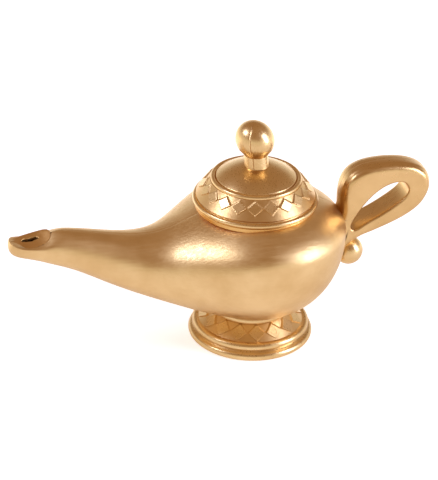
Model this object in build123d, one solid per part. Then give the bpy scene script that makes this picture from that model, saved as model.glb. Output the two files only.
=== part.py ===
from build123d import *
import math
import os

# A genie lamp of gold-painted moulded plastic: a round bowl that runs out into a
# long spout, a diamond-banded foot, a looped handle and a lift-off lid with a knob.
# Millimetres. The origin is the middle of the foot on the floor, +Z is up,
# the spout points along -X and the handle along +X.

# Foot: a hollow banded skirt, sized from the spigot that plugs the bowl outwards
# and from the floor up
foot_spigot_radius = 14.0
foot_spigot_rise = 7.5
foot_shoulder = 4.9
foot_neck_step = 0.7
foot_neck_rise = 2.0
foot_neck_flare = 1.5
foot_band_run = 7.7
foot_band_rise = 7.2
foot_band_step = 2.1
foot_bead_radius = 2.3
foot_bead_offset = 0.9
foot_bead_rise = 2.4
foot_bead_degrees = (-50, 80)
foot_ring_reach = 5.1
foot_ring_height = 4.2
foot_ring_crown_inset = 1.9
foot_sole_inset = 1.2
foot_wall = 2.4
foot_diamonds = 16
foot_diamond_turn_degrees = 15.2
foot_diamond_span_shares = (0.04, 0.96)
cover_inset = 5.4
cover_thickness = 1.6
cover_ledge = 2.0

# Bowl: two half eggs that share their widest line, let down over the foot's neck
bowl_radius = 47.6
bowl_crown_rise = 17.9
bowl_belly_drop = 47.4
bowl_sink = 3.4
shell_wall = 2.0

# Spout: reach of its last full section, then a blunt nose cut by a sloping face
spout_reach = 112.0
nose_length = 17.0
nose_rise = 3.2
face_low_end = 0.8
face_drop = 1.3
face_slope_degrees = 15.5

# Each row is one section of the spouted side, at even steps from the bowl's middle
# to spout_reach: its half width in bowl radii, then the heights of its widest
# line, top and bottom in bowl heights above the bowl's lowest point
section_shares = [
    (0.942, 0.685, 0.985, 0.044),
    (0.754, 0.603, 0.900, 0.103),
    (0.515, 0.528, 0.800, 0.183),
    (0.364, 0.531, 0.781, 0.281),
    (0.281, 0.606, 0.812, 0.400),
    (0.230, 0.693, 0.858, 0.528),
    (0.185, 0.753, 0.885, 0.621),
]
# Even turns of the quarter ellipse that rounds the nose, outside and inside the shell
nose_turns_degrees = (0, 18, 36, 54, 72, 86)
cavity_turns_degrees = (0, 18, 36)

# Pegs that line up the two shells: how many sections out along the spout they
# stand, below and above its bore, and at what slope inside the bowl
peg_radius = 1.3
peg_length = 3.0
peg_boss_radius = 2.7
peg_boss_sink = 0.6
peg_boss_half_width = 4.2
peg_gap = 0.1
keel_peg_section_count = 4
roof_peg_section_count = 5
bowl_peg_degrees = -38.0

# Plate that closes the spout's face, with the flame slot
tip_plate_low_rim = 1.7
tip_plate_high_rim = 0.7
tip_plate_side_rim = 2.7
tip_plate_thickness = 1.5
tip_seat_land = 1.0
tip_seat_depth = 2.0
flame_slot_length = 9.5
flame_slot_width = 4.2

# Collar that lines the bowl's mouth, and the ledge under it
collar_shoulder = 19.1
collar_width = 3.0
collar_height = 4.0
collar_drop = 3.2
collar_edge_round = 0.9
ledge_thickness = 2.2
ledge_overlap = 2.4
ledge_reach = 4.5
ledge_skin = 0.8

# Handle: a looped strap in two halves, and the ball that hangs under it
handle_width = 16.0
handle_edge_round = 1.6
handle_reach = 44.1
handle_rise = 53.1
handle_foot_drop = 21.9
tang_height = 7.0
tang_half_width = 2.5
tang_rise = 1.1
tang_overrun = 1.5
tang_root = 1.5
ball_radius = 7.1
ball_reach = 5.0
ball_drop = 19.9
ball_peg_radius = 1.5
ball_peg_rise = 1.6

# The strap's outer line and its finger hole, seen from the front: across in
# handle reaches from the bowl's side, up in handle rises from the handle's foot
strap_shares = [
    (-0.082, 0.452), (-0.046, 0.546), (-0.048, 0.659), (-0.032, 0.772),
    (0.005, 0.855), (0.073, 0.921), (0.168, 0.964), (0.281, 0.989),
    (0.440, 1.000), (0.610, 0.994), (0.757, 0.972), (0.871, 0.934),
    (0.952, 0.878), (0.993, 0.802), (0.998, 0.719), (0.966, 0.637),
    (0.893, 0.559), (0.780, 0.497), (0.644, 0.443), (0.485, 0.388),
    (0.327, 0.335), (0.213, 0.294), (0.134, 0.249), (0.073, 0.207),
    (0.032, 0.166), (0.000, 0.117), (-0.025, 0.066), (-0.054, 0.009),
]
strap_root_share = -0.3
finger_hole_shares = [
    (0.061, 0.395), (0.104, 0.499), (0.184, 0.614), (0.304, 0.734),
    (0.440, 0.814), (0.576, 0.846), (0.689, 0.825), (0.741, 0.740),
    (0.694, 0.644), (0.553, 0.554), (0.395, 0.475), (0.236, 0.403),
    (0.111, 0.347),
]

# Lid: the skirt that centres it in the collar, and its cap from the groove over
# the rim outwards and from its seat up
skirt_wall = 1.8
skirt_depth = 6.0
skirt_height_in_lid = 3.6
lid_wall = 1.8
lid_rib_wall = 2.2
lid_groove_reach = 4.7
lid_groove_rise = 4.0
lid_rim_reach = 2.4
lid_rim_wall = 2.0
lid_bead_radius = 1.4
lid_bead_rise = 2.5
lid_bead_degrees = (-85, 125)
lid_band_reach = 0.7
lid_band_step = 0.9
lid_band_run = 7.0
lid_band_rise = 8.6
lid_diamonds = 20
lid_diamond_turn_degrees = 2.1
lid_diamond_span_shares = (0.27, 0.98)
dome_bead_radius = 1.3
dome_bead_inset = 1.5
dome_bead_rise = 0.5
dome_bead_degrees = (-20, 165)
dome_edge_inset = 3.1
dome_edge_step = 1.8
dome_rise = 6.9

# Knob: an onion ball on a short neck over the dome, split down its height
knob_radius = 10.0
knob_stand = 13.7
knob_cone_drop = 4.6
knob_neck_drop = 8.0
knob_neck_radius = 6.0
knob_foot_radius = 6.4
knob_plug_radius = 4.4
knob_plug_depth = 3.6
knob_split_degrees = 30.0

# Relief of the diamond bands, whose sides lean in above the cone
diamond_rise = 0.8
diamond_lean_degrees = 35.0
diamond_sink = 0.9
diamond_width_share = 0.98

# Gaps: in a glued fit, and between the lid and what it lifts off
glue_gap = 0.08
lid_gap = 0.3

# How far every cutting tool runs past what it cuts
overrun = 4.0
full_turn_degrees = 360

# Foot, from its spigot outwards and from the floor up
foot_neck_radius = foot_spigot_radius + foot_shoulder
foot_band_top_radius = foot_neck_radius + foot_neck_step
foot_band_low_radius = foot_band_top_radius + foot_band_run
foot_radius = foot_band_low_radius + foot_ring_reach
foot_bead_height = foot_ring_height + foot_bead_rise
foot_band_low_height = foot_bead_height + foot_band_step
foot_band_top_height = foot_band_low_height + foot_band_rise
foot_neck_height = foot_band_top_height + foot_neck_rise
cover_radius = foot_radius - cover_inset

# Bowl on the foot's neck, and the collar in its mouth
bowl_bottom = foot_neck_height - bowl_sink
bowl_equator_height = bowl_bottom + bowl_belly_drop
bowl_top = bowl_equator_height + bowl_crown_rise
bowl_height = bowl_top - bowl_bottom
foot_spigot_top = bowl_bottom + foot_spigot_rise
collar_outer_radius = bowl_radius - collar_shoulder
collar_bore_radius = collar_outer_radius - collar_width
collar_top = bowl_top - collar_drop
collar_seat = collar_top - collar_height
section_step = spout_reach / len(section_shares)
far = 3 * (spout_reach + nose_length)

# Lid over the collar, and the knob over the lid
skirt_radius = collar_bore_radius - lid_gap
lid_socket_radius = skirt_radius + glue_gap
lid_rib_radius = lid_socket_radius + lid_rib_wall
lid_groove_radius = lid_socket_radius + lid_groove_reach
lid_rim_radius = lid_groove_radius + lid_rim_reach
lid_band_low_radius = lid_groove_radius + lid_band_reach
lid_band_top_radius = lid_band_low_radius - lid_band_run
dome_edge_radius = lid_band_top_radius - dome_edge_inset
lid_seat_height = collar_top + lid_gap
lid_groove_height = lid_seat_height + lid_groove_rise
lid_band_low_height = lid_groove_height + lid_band_step
lid_band_top_height = lid_band_low_height + lid_band_rise
dome_edge_height = lid_band_top_height + dome_edge_step
dome_apex_height = dome_edge_height + dome_rise
knob_centre_height = dome_apex_height + knob_stand


def height_of(share):
    """Height above the floor of a share of the bowl's height."""
    return bowl_bottom + share * bowl_height


def section_face(x, half_width, middle, top, bottom, grow):
    """One upright section: two half ellipses that meet at the widest line."""
    plane = Plane(origin=(x, 0, middle), x_dir=(0, 1, 0), z_dir=(1, 0, 0))
    side = half_width + grow
    half_turn = full_turn_degrees / 2
    upper = EllipticalCenterArc((0, 0), side, top - middle + grow, 0, arc_size=half_turn)
    lower = EllipticalCenterArc((0, 0), side, middle - bottom + grow, half_turn,
                                arc_size=half_turn)
    return plane * make_face([upper, lower])


def bowl_section(x, grow):
    """The bowl's own section at a short distance from its middle."""
    fullness = math.sqrt(1 - (x / bowl_radius) ** 2)
    top = bowl_equator_height + bowl_crown_rise * fullness
    bottom = bowl_equator_height - bowl_belly_drop * fullness
    side = bowl_radius * fullness
    return section_face(x, side, bowl_equator_height, top, bottom, grow)


def spout_section(x, shares, grow):
    """A section of the spout from one row of shares."""
    side, middle, top, bottom = shares
    return section_face(x, side * bowl_radius, height_of(middle), height_of(top),
                        height_of(bottom), grow)


def nose_section(degrees, grow):
    """A section of the blunt nose, which rises and shrinks as a quarter ellipse does."""
    side, middle, top, bottom = section_shares[-1]
    along = math.sin(math.radians(degrees))
    fullness = math.cos(math.radians(degrees))
    height = height_of(middle) + nose_rise * along
    upper = (height_of(top) - height_of(middle)) * fullness
    lower = (height_of(middle) - height_of(bottom)) * fullness
    x = -spout_reach - nose_length * along
    return section_face(x, side * bowl_radius * fullness, height, height + upper,
                        height - lower, grow)


def nose_lead(grow):
    """The section one nose step before the spout's end, so that the nose runs on."""
    lead = nose_length * math.sin(math.radians(nose_turns_degrees[1]))
    back_share = lead / section_step
    shares = [end + back_share * (before - end)
              for end, before in zip(section_shares[-1], section_shares[-2])]
    return spout_section(lead - spout_reach, shares, grow)


def slab(x):
    """Everything beyond an upright plane across the spout, on the spout's side."""
    return Pos(x - far / 2, 0, 0) * Box(far, far, far)


def spouted_side(grow, nose_turns):
    """The side of the body that narrows into the spout, cut at the bowl's middle."""
    sections = [bowl_section(section_step, grow), bowl_section(0, grow)]
    for row, shares in enumerate(section_shares, start=1):
        sections.append(spout_section(-row * section_step, shares, grow))
    nose = [nose_lead(grow)] + [nose_section(degrees, grow) for degrees in nose_turns]
    return (loft(sections) & slab(0)) + (loft(nose) & slab(-spout_reach))


def round_side(grow):
    """The handle side of the body: half of an egg turned about the upright axis."""
    centre = (0, bowl_equator_height)
    radius = bowl_radius + grow
    quarter_turn = full_turn_degrees / 4
    crown = EllipticalCenterArc(centre, radius, bowl_crown_rise + grow, 0,
                                arc_size=quarter_turn)
    belly = EllipticalCenterArc(centre, radius, bowl_belly_drop + grow, 0,
                                arc_size=-quarter_turn)
    axis_line = Line((0, bowl_top + grow), (0, bowl_bottom - grow))
    return turned([belly, crown, axis_line]) - slab(0)


def body_form(grow, nose_turns=nose_turns_degrees):
    """The closed outer form of bowl and spout, grown or shrunk by one distance."""
    return round_side(grow) + spouted_side(grow, nose_turns)


def turned(lines):
    """A solid of revolution from a closed outline in the XZ plane."""
    return revolve(Plane.XZ * make_face(lines), Axis.Z, full_turn_degrees)


def ring(outer, inner, low, high):
    """An upright ring between two heights."""
    ring_plane = Plane.XY.offset(low)
    return extrude(ring_plane * (Circle(outer) - Circle(inner)), high - low)


def disc(radius, low, high):
    """An upright round plug between two heights."""
    return extrude(Plane.XY.offset(low) * Circle(radius), high - low)


def face_start():
    """Low end of the sloping face, just under the tip of the nose."""
    tip_height = height_of(section_shares[-1][1]) + nose_rise
    return (face_low_end - spout_reach - nose_length, 0, tip_height - face_drop)


def face_plane():
    """The sloping plane that cuts the spout's nose, with X up the slope."""
    slope = math.radians(face_slope_degrees)
    return Plane(origin=face_start(), x_dir=(math.cos(slope), 0, math.sin(slope)),
                 z_dir=(-math.sin(slope), 0, math.cos(slope)))


def face_length():
    """Length of the sloping face, from its low end to the spout's top line."""
    slope = math.radians(face_slope_degrees)
    low_x, _, low_height = face_start()
    end_top = height_of(section_shares[-1][2])
    top_climb = (height_of(section_shares[-2][2]) - end_top) / section_step
    end_distance = -spout_reach - low_x
    run = (end_top - low_height - top_climb * end_distance) / (math.tan(slope) - top_climb)
    return run / math.cos(slope)


def tip_oval(inset):
    """The tip plate's oval, drawn in or let out all round, on the face's plane."""
    length = face_length() - tip_plate_low_rim - tip_plate_high_rim
    half_width = section_shares[-1][0] * bowl_radius - tip_plate_side_rim
    return Ellipse(length / 2 - inset, half_width - inset)


def on_face(sketch, sink):
    """A sketch set at the tip plate's middle, a distance under the sloping face."""
    length = face_length() - tip_plate_low_rim - tip_plate_high_rim
    return face_plane() * Pos(tip_plate_low_rim + length / 2, 0, -sink) * sketch


def peg_places():
    """Centres of the shell's pegs on the parting plane, tucked against the wall."""
    inset = shell_wall + peg_boss_radius - peg_boss_sink
    keel_height = height_of(section_shares[keel_peg_section_count - 1][3])
    roof_height = height_of(section_shares[roof_peg_section_count - 1][2])
    turn = math.radians(bowl_peg_degrees)
    return [
        (-keel_peg_section_count * section_step, keel_height + inset),
        (-roof_peg_section_count * section_step, roof_height - inset),
        ((bowl_radius - inset) * math.cos(turn),
         bowl_equator_height + (bowl_belly_drop - inset) * math.sin(turn)),
    ]


def along_y(radius, x, z, start, end):
    """A round bar along Y between two places."""
    plane = Plane(origin=(x, start, z), x_dir=(1, 0, 0), z_dir=(0, 1, 0))
    return extrude(plane * Circle(radius), end - start)


def body_shell():
    """Bowl and spout as one hollow wall with its mouth ledge and peg bosses."""
    shell = body_form(0) - body_form(-shell_wall, cavity_turns_degrees)
    ledge_low = collar_seat - ledge_thickness
    ledge_bore = collar_outer_radius - ledge_overlap
    ledge = ring(collar_outer_radius + ledge_reach, ledge_bore, ledge_low, collar_top)
    shell += ledge & body_form(-ledge_skin, cavity_turns_degrees)
    for x, z in peg_places():
        shell += along_y(peg_boss_radius, x, z, -peg_boss_half_width, peg_boss_half_width)
    shell -= disc(collar_outer_radius + glue_gap, collar_seat, bowl_top + overrun)
    shell -= disc(ledge_bore, ledge_low - overrun, collar_seat + overrun)
    shell -= disc(foot_spigot_radius + glue_gap, 0, foot_spigot_top + overrun)
    shell -= face_plane() * Pos(0, 0, far / 2) * Box(far, far, far)
    shell -= extrude(on_face(tip_oval(-glue_gap), tip_plate_thickness),
                     tip_plate_thickness + overrun)
    bore_depth = tip_plate_thickness + tip_seat_depth
    shell -= extrude(on_face(tip_oval(tip_seat_land), bore_depth), bore_depth)
    return shell - tang_block(glue_gap)


def half_space(side):
    """Everything on one side of the parting plane: -1 in front, 1 behind."""
    return Pos(0, side * far / 2, 0) * Box(far, far, far)


def body_halves():
    """The two shells: sockets in the front one, pegs on the rear one."""
    shell = body_shell()
    front = shell & half_space(-1)
    rear = shell & half_space(1)
    for x, z in peg_places():
        front -= along_y(peg_radius + peg_gap, x, z, -peg_length - peg_gap, 0)
        rear += along_y(peg_radius, x, z, -peg_length, peg_boss_half_width / 2)
    return front, rear


def spout_tip_plate():
    """The oval plate of the spout's face with its flame slot."""
    slot = SlotOverall(flame_slot_length, flame_slot_width)
    return extrude(on_face(tip_oval(0) - slot, tip_plate_thickness), tip_plate_thickness)


def mouth_collar():
    """The ring in the bowl's mouth that carries the lid."""
    collar = ring(collar_outer_radius, collar_bore_radius, collar_seat, collar_top)
    top_edges = collar.edges().group_by(Axis.Z)[-1]
    return fillet(top_edges, collar_edge_round)


def strap_point(share):
    """A place on the handle's outline from its two shares."""
    across, up = share
    handle_foot_height = bowl_equator_height - handle_foot_drop
    return (bowl_radius + across * handle_reach, handle_foot_height + up * handle_rise)


def handle_strap():
    """The looped strap with rounded edges, before the bowl is taken out of it."""
    outer = Spline([strap_point(share) for share in strap_shares])
    root_low = strap_point((strap_root_share, strap_shares[-1][1]))
    root_high = strap_point((strap_root_share, strap_shares[0][1]))
    root = Polyline(strap_point(strap_shares[-1]), root_low, root_high,
                    strap_point(strap_shares[0]))
    hole = Spline([strap_point(share) for share in finger_hole_shares], periodic=True)
    outline = make_face([outer, root]) - make_face([hole])
    strap = extrude(Plane.XZ * outline, handle_width / 2, both=True)
    rims = strap.faces().sort_by(Axis.Y)
    edges = rims[0].edges() + rims[-1].edges()
    curved = [edge for edge in edges if edge.geom_type == GeomType.BSPLINE]
    return fillet(curved, handle_edge_round)


def tang_block(grow):
    """The handle's tang, or with growth the slot that it fills in the shells."""
    inner = bowl_radius - shell_wall - tang_overrun - grow
    outer = bowl_radius + tang_root
    block = Box(outer - inner, 2 * (tang_half_width + grow), tang_height + 2 * grow)
    return Pos((inner + outer) / 2, 0, bowl_equator_height + tang_rise) * block


def ball_centre():
    """Middle of the ball under the handle."""
    return (bowl_radius + ball_reach, 0, bowl_equator_height - ball_drop)


def ball_peg(grow):
    """The ball's peg, which points at the bowl and plugs into the strap."""
    x, y, z = ball_centre()
    plane = Plane(origin=(x, y, z + ball_peg_rise), x_dir=(0, 1, 0), z_dir=(-1, 0, 0))
    return extrude(plane * Circle(ball_peg_radius + grow), ball_radius + ball_reach)


def handle_parts(seat):
    """Both strap halves and the ball, each cut to the bowl that carries them."""
    strap = handle_strap()
    handle = strap - seat + tang_block(0) - ball_peg(glue_gap)
    sphere = Pos(*ball_centre()) * Sphere(ball_radius)
    ball = sphere - Pos(glue_gap, 0, -glue_gap) * strap - seat
    ball += (ball_peg(0) - seat) & (Pos(*ball_centre()) * Sphere(ball_radius + overrun))
    return handle & half_space(-1), handle & half_space(1), ball


def polar(centre, radius, degrees):
    """A point at an angle round a bead's centre."""
    turn = math.radians(degrees)
    return (centre[0] + radius * math.cos(turn), centre[1] + radius * math.sin(turn))


def bead(centre, radius, span_degrees):
    """The round of a bead over a span of angles."""
    start, end = span_degrees
    middle = (start + end) / 2
    return ThreePointArc(polar(centre, radius, start), polar(centre, radius, middle),
                         polar(centre, radius, end))


def diamond_band(count, low, top, turn_degrees, span_shares):
    """Raised diamonds over a span of a cone, the first turned from the lamp's front."""
    low_radius, low_height = low
    top_radius, top_height = top
    run = low_radius - top_radius
    rise = top_height - low_height
    start_share, end_share = span_shares
    middle_share = (start_share + end_share) / 2
    middle_radius = low_radius - middle_share * run
    half_width = math.tan(math.pi / count) * middle_radius * diamond_width_share
    half_height = math.hypot(run, rise) * (end_share - start_share) / 2
    plane = Plane(origin=(middle_radius, 0, low_height + middle_share * rise),
                  x_dir=(0, 1, 0), z_dir=(rise, 0, run))
    corners = [(half_width, 0), (0, half_height), (-half_width, 0), (0, -half_height)]
    diamond = make_face(Polyline(corners, close=True))
    pad = extrude(plane.offset(-diamond_sink) * diamond, diamond_sink)
    pad += extrude(plane * diamond, diamond_rise, taper=diamond_lean_degrees)
    first = turn_degrees - full_turn_degrees / 4
    return [Rot(0, 0, first + copy * full_turn_degrees / count) * pad
            for copy in range(count)]


def foot(seat_form):
    """The hollow foot: base ring, bead, diamond band, neck and closed spigot."""
    bead_centre = (foot_band_low_radius + foot_bead_offset, foot_bead_height)
    sole = foot_radius - foot_sole_inset
    crown = (foot_radius - foot_ring_crown_inset, foot_ring_height)
    bead_line = bead(bead_centre, foot_bead_radius, foot_bead_degrees)
    band_low = (foot_band_low_radius, foot_band_low_height)
    band_top = (foot_band_top_radius, foot_band_top_height)
    neck_low = (foot_neck_radius, foot_band_top_height)
    neck_top = (foot_neck_radius + foot_neck_flare, foot_neck_height + foot_neck_flare)
    seat = cover_radius + glue_gap
    inner = cover_radius - cover_ledge
    slant = foot_band_run / foot_band_rise
    hollow_top = foot_band_top_height - foot_wall
    hollow_radius = foot_band_top_radius - foot_wall + slant * foot_wall / 2
    cone_start = hollow_top - (inner - hollow_radius) / slant
    core = foot_spigot_radius - foot_wall
    core_top = foot_spigot_top - foot_wall
    profile = [
        Line((seat, 0), (sole, 0)),
        ThreePointArc((sole, 0), (foot_radius, foot_ring_height / 2), crown),
        Line(crown, bead_line @ 0),
        bead_line,
        Line(bead_line @ 1, band_low),
        Line(band_low, band_top),
        Line(band_top, neck_low),
        Line(neck_low, (foot_neck_radius, foot_neck_height)),
        Line((foot_neck_radius, foot_neck_height), neck_top),
        Line(neck_top, (foot_spigot_radius, neck_top[1])),
        Line((foot_spigot_radius, neck_top[1]), (foot_spigot_radius, foot_spigot_top)),
        Line((foot_spigot_radius, foot_spigot_top), (0, foot_spigot_top)),
        Line((0, foot_spigot_top), (0, core_top)),
        Line((0, core_top), (core, core_top)),
        Line((core, core_top), (core, hollow_top)),
        Line((core, hollow_top), (hollow_radius, hollow_top)),
        Line((hollow_radius, hollow_top), (inner, cone_start)),
        Line((inner, cone_start), (inner, cover_thickness)),
        Line((inner, cover_thickness), (seat, cover_thickness)),
        Line((seat, cover_thickness), (seat, 0)),
    ]
    body = turned(profile)
    body -= seat_form - disc(foot_spigot_radius, 0, foot_spigot_top + overrun)
    for pad in diamond_band(foot_diamonds, band_low, band_top, foot_diamond_turn_degrees,
                            foot_diamond_span_shares):
        body += pad
    return body


def base_cover():
    """The disc that closes the foot's underside, flush with its sole."""
    return disc(cover_radius, 0, cover_thickness)


def dome_height(radius, drop):
    """Height of the lid's domed top at a radius, lowered by a distance."""
    round_radius = (dome_edge_radius ** 2 + dome_rise ** 2) / (2 * dome_rise)
    sag = round_radius - math.sqrt(round_radius ** 2 - radius ** 2)
    return dome_apex_height - sag - drop


def dome_arc(start, end, drop):
    """The dome's round between two radii."""
    middle = (start + end) / 2
    return ThreePointArc((start, dome_height(start, drop)),
                         (middle, dome_height(middle, drop)),
                         (end, dome_height(end, drop)))


def lid_cap():
    """The lid's visible shell: rim bead, diamond band, bead and dome."""
    land = knob_foot_radius + lid_gap
    hole = knob_plug_radius + glue_gap
    land_height = dome_height(land, 0)
    rim_centre = (lid_rim_radius - lid_bead_radius, lid_seat_height + lid_bead_rise)
    rim = bead(rim_centre, lid_bead_radius, lid_bead_degrees)
    crest_centre = (lid_band_top_radius - dome_bead_inset,
                    lid_band_top_height + dome_bead_rise)
    crest = bead(crest_centre, dome_bead_radius, dome_bead_degrees)
    band_low = (lid_band_low_radius, lid_band_low_height)
    band_top = (lid_band_top_radius, lid_band_top_height)
    groove = (lid_groove_radius, lid_groove_height)
    rim_inside = lid_rim_radius - lid_rim_wall - lid_bead_radius
    channel_top = lid_groove_height - lid_wall
    socket = lid_socket_radius
    socket_top = lid_seat_height + skirt_height_in_lid + glue_gap
    shelf = socket - lid_wall / 2
    outside = dome_arc(land, dome_edge_radius, 0)
    inside = dome_arc(hole, dome_edge_radius - lid_wall / 2, lid_wall)
    profile = [
        Line((hole, land_height), (land, land_height)),
        outside,
        Line(outside @ 1, crest @ 1),
        crest,
        Line(crest @ 0, band_top),
        Line(band_top, band_low),
        Line(band_low, groove),
        Line(groove, rim @ 1),
        rim,
        Line(rim @ 0, (rim_inside, (rim @ 0).Y)),
        Line((rim_inside, (rim @ 0).Y), (rim_inside, channel_top)),
        Line((rim_inside, channel_top), (lid_rib_radius, channel_top)),
        Line((lid_rib_radius, channel_top), (lid_rib_radius, lid_seat_height)),
        Line((lid_rib_radius, lid_seat_height), (socket, lid_seat_height)),
        Line((socket, lid_seat_height), (socket, socket_top)),
        Line((socket, socket_top), (shelf, socket_top)),
        Line((shelf, socket_top), inside @ 1),
        inside,
        Line(inside @ 0, (hole, land_height)),
    ]
    cap = turned(profile)
    for pad in diamond_band(lid_diamonds, band_low, band_top, lid_diamond_turn_degrees,
                            lid_diamond_span_shares):
        cap += pad
    return cap


def lid_skirt():
    """The ring glued inside the lid that drops into the collar."""
    return ring(skirt_radius, skirt_radius - skirt_wall, lid_seat_height - skirt_depth,
                lid_seat_height + skirt_height_in_lid)


def knob_halves():
    """The onion knob with its plug, split down its height into two mouldings."""
    foot_height = dome_height(knob_foot_radius + lid_gap, 0)
    plug_low = foot_height - knob_plug_depth
    neck_height = knob_centre_height - knob_neck_drop
    cone_height = knob_centre_height - knob_cone_drop
    cone_radius = math.sqrt(knob_radius ** 2 - knob_cone_drop ** 2)
    top = knob_centre_height + knob_radius
    profile = [
        Line((0, plug_low), (knob_plug_radius, plug_low)),
        Line((knob_plug_radius, plug_low), (knob_plug_radius, foot_height)),
        Line((knob_plug_radius, foot_height), (knob_foot_radius, foot_height)),
        Line((knob_foot_radius, foot_height), (knob_neck_radius, neck_height)),
        Line((knob_neck_radius, neck_height), (cone_radius, cone_height)),
        ThreePointArc((cone_radius, cone_height), (knob_radius, knob_centre_height),
                      (0, top)),
        Line((0, top), (0, plug_low)),
    ]
    knob = turned(profile)
    left_side = Rot(0, 0, -knob_split_degrees) * slab(0)
    return knob & left_side, knob - left_side


body_front, body_rear = body_halves()
glued_form = body_form(glue_gap)
handle_front, handle_rear, ball = handle_parts(glued_form)
knob_left, knob_right = knob_halves()

nodes = {
    "body_front_half": body_front,
    "body_rear_half": body_rear,
    "spout_tip_plate": spout_tip_plate(),
    "mouth_collar": mouth_collar(),
    "handle_front_half": handle_front,
    "handle_rear_half": handle_rear,
    "handle_ball": ball,
    "foot": foot(glued_form),
    "base_cover": base_cover(),
    "lid_cap": lid_cap(),
    "lid_skirt": lid_skirt(),
    "knob_left_half": knob_left,
    "knob_right_half": knob_right,
}

os.makedirs("parts", exist_ok=True)
for name, solid in nodes.items():
    export_step(solid, f"parts/{name}.step")
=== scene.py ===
import math

import bmesh
import bpy
import numpy as np
from mathutils import Matrix, Vector


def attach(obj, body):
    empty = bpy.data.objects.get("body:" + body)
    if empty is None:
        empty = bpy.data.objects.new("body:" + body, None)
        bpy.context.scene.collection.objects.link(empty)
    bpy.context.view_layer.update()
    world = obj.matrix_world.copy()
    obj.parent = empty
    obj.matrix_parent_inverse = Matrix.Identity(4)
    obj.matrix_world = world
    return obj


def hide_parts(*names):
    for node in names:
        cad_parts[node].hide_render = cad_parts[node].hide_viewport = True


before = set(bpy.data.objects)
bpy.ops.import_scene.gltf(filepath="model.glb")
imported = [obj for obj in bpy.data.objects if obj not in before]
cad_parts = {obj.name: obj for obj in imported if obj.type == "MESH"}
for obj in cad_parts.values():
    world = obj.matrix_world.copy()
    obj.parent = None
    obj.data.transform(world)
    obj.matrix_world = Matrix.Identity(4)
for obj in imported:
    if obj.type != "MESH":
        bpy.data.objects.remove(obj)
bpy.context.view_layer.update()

# Foot
# A hollow skirt on a round ring, moulded in one piece of plastic with a band of
# raised diamonds and plugged into the bowl's underside. It is sprayed with satin
# gold paint, which lies smooth on the diamonds and sandy in the recesses between.
mm = 0.001
bright_gold = "#E8C68C"
deep_gold = "#DDB87D"
recess_gold = "#DDB67A"
foot_columns = 640
foot_diamonds = 16
foot_turn_degrees = 15.2
foot_span_shares = (0.04, 0.96)
foot_seam_degrees = -115.0
foot_seam_depth = 0.14
foot_seam_width = 0.35
foot_radius = 32.4
ring_round = 2.24
ring_middle = (foot_radius - ring_round, 1.99)
foot_bead = (28.2, 6.6)
foot_bead_round = 2.3
foot_band_low = (27.3, 8.7)
foot_band_top = (19.6, 15.9)
foot_roll = (18.5, 16.8)
foot_roll_round = 2.5
foot_spigot = (14.0, 22.0)
foot_wall = 2.4
cover_seat = (27.08, 1.6)
cover_ledge = 25.0
cover_ledge_top = 7.4
diamond_rows = 40
diamond_rise = 0.7
diamond_edge_share = 1.0
diamond_bevel_share = 0.125
# How the meshes are drawn: points in a rounded corner, how far from it a straight
# run's first row lies, how near points are merged, and how bent a sharp edge is
bend_points = 7
run_end = 0.25
merge_distance = 0.001
sharp_degrees = 42
# The paint: how wide its clouds and grains are and how high its relief, all in
# millimetres, the sand's height against the peel's, and how much rougher a recess is
cloud_width = 18.18
peel_grain = 0.6667
sand_grain = 0.3846
paint_relief = 0.06
sand_height = 2.0
recess_dullness = 0.04


def linear(hex_colour):
    """An sRGB hex colour as linear red, green and blue, with alpha 1."""
    parts = [int(hex_colour[place:place + 2], 16) / 255 for place in (1, 3, 5)]
    return [part / 12.92 if part <= 0.04045 else ((part + 0.055) / 1.055) ** 2.4
            for part in parts] + [1.0]


def add_node(tree, kind, inputs=None, **settings):
    """Adds a node with its settings; an input is a value or the socket that feeds it."""
    node = tree.nodes.new(kind)
    for name, value in settings.items():
        setattr(node, name, value)
    for name, value in (inputs or {}).items():
        if isinstance(value, bpy.types.NodeSocket):
            tree.links.new(value, node.inputs[name])
        else:
            node.inputs[name].default_value = value
    return node


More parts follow.
